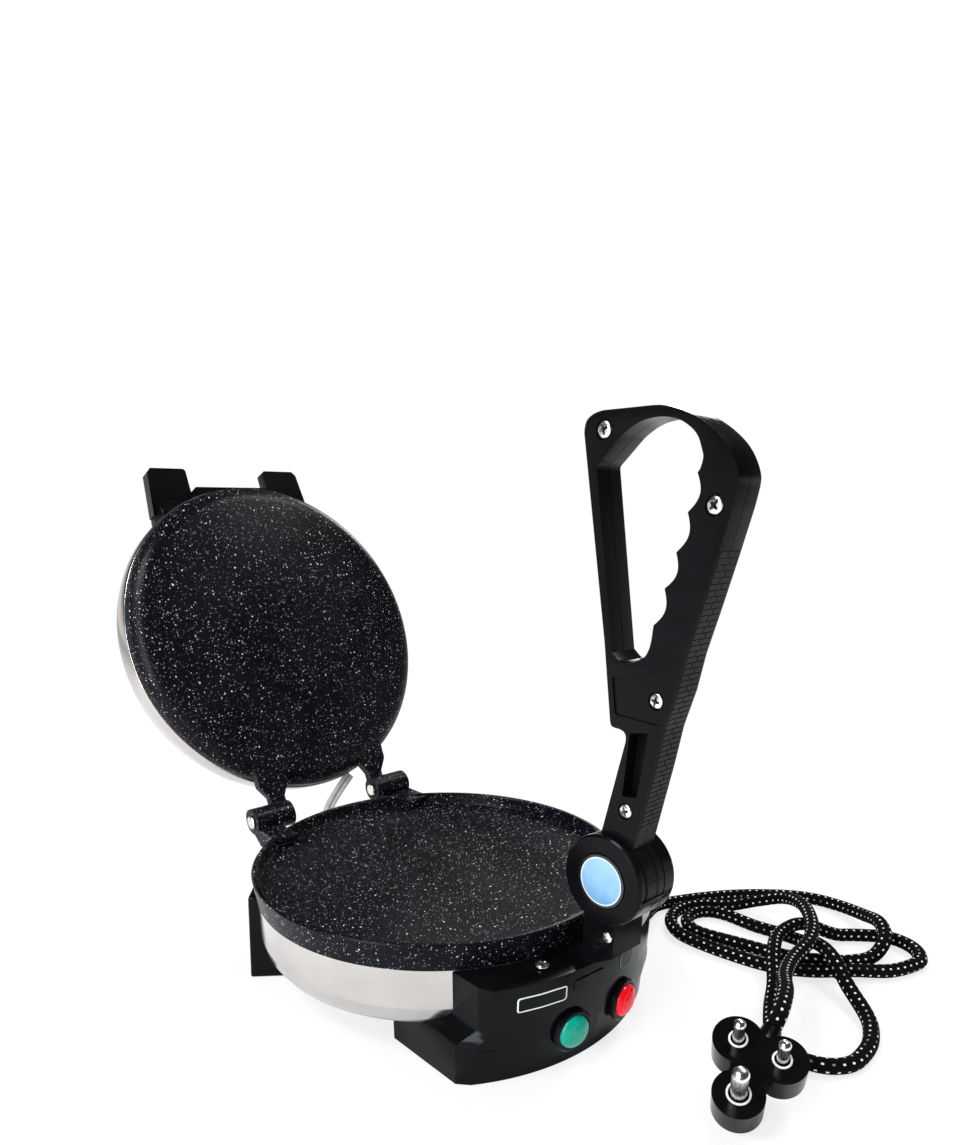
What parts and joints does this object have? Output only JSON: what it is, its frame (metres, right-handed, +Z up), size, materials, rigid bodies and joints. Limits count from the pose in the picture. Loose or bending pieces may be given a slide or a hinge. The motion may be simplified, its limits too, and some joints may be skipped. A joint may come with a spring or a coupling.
{
  "type": "electric roti maker",
  "caption": "Countertop flatbread press: round heated plate on a steel bowl with a front control box, hinged heated lid, upright press handle and mains lead with plug.",
  "frame": {"origin": "middle of the footprint on the table, without the free mains lead and its plug", "axes": "+Z up from the table, front with the control box and press handle towards -Y, lid hinge at +Y along X"},
  "size_m": [0.3252, 0.4247, 0.2737],
  "materials": {
    "coating": "fleck non-stick coating on cast aluminium",
    "polished_steel": "polished stainless sheet",
    "black_plastic": "glossy black moulding",
    "cover_plastic": "matt black moulding",
    "nickel": "bright plated steel",
    "element_sheath": "dull heating rod sheath",
    "ceramic_block": "ivory insulating block",
    "green_lens": "clear green lens",
    "red_lens": "clear red lens",
    "neon_glass": "small glass lamp",
    "blue_disc": "plain pale blue disc",
    "braided_sheath": "black braid with white flecks",
    "white_sleeve": "white heat-resistant sleeve",
    "clear_band": "translucent plastic band"
  },
  "bodies": {
    "base": {"lower_plate": "coating", "bowl": "polished_steel", "bowl_centre_screw": "nickel", "lower_heating_element": "element_sheath", "lower_element_clamp": "polished_steel", "lower_clamp_nut": "nickel", "thermostat": "ceramic_block", "rear_foot_left": "black_plastic", "foot_screw_left": "nickel", "rear_foot_right": "black_plastic", "foot_screw_right": "nickel", "control_box": "black_plastic", "shoulder_screw_left": "nickel", "shoulder_screw_right": "nickel", "box_cover": "cover_plastic", "cover_screw_rear_left": "nickel", "cover_screw_front_left": "nickel", "cover_screw_rear_right": "nickel", "cover_screw_front_right": "nickel", "terminal_block": "ceramic_block", "green_lamp_bezel": "black_plastic", "green_lamp_lens": "green_lens", "green_neon_lamp": "neon_glass", "red_lamp_bezel": "black_plastic", "red_lamp_lens": "red_lens", "red_neon_lamp": "neon_glass", "hinge_pin_left": "nickel", "hinge_pin_right": "nickel", "handle_bracket": "black_plastic", "bracket_screw": "nickel", "bracket_foot_screw_left": "nickel", "bracket_foot_screw_right": "nickel", "pivot_bolt": "nickel", "pivot_nut": "nickel", "power_cord": "braided_sheath", "strain_relief": "black_plastic", "cord_tie": "clear_band", "plug_body": "black_plastic", "plug_pin_line": "nickel", "plug_pin_neutral": "nickel", "plug_pin_earth": "nickel", "lid_lead": "white_sleeve"},
    "lid": {"upper_plate": "coating", "lid_cover": "polished_steel", "upper_heating_element": "element_sheath", "upper_element_clamp": "polished_steel", "upper_clamp_nut": "nickel", "lid_centre_screw": "nickel", "press_bracket": "black_plastic", "press_bracket_screw_left": "nickel", "press_bracket_screw_right": "nickel"},
    "press_handle": {"handle_half_left": "black_plastic", "handle_half_right": "black_plastic", "handle_screw_1": "nickel", "handle_screw_2": "nickel", "handle_screw_3": "nickel", "handle_screw_4": "nickel", "hub_cap": "black_plastic", "hub_disc": "blue_disc"}
  },
  "joints": [
    {"name": "lid_hinge", "type": "hinge", "parent": "base", "child": "lid", "pos_m": [0, 0.0819, 0.0666], "axis": [1, 0, 0], "range_deg": [0, 110.6], "deforming": ["lid_lead"]},
    {"name": "press_handle_pivot", "type": "hinge", "parent": "base", "child": "press_handle", "pos_m": [0, -0.1461, 0.0945], "axis": [-1, 0, 0], "range_deg": [0, 75]}
  ]
}
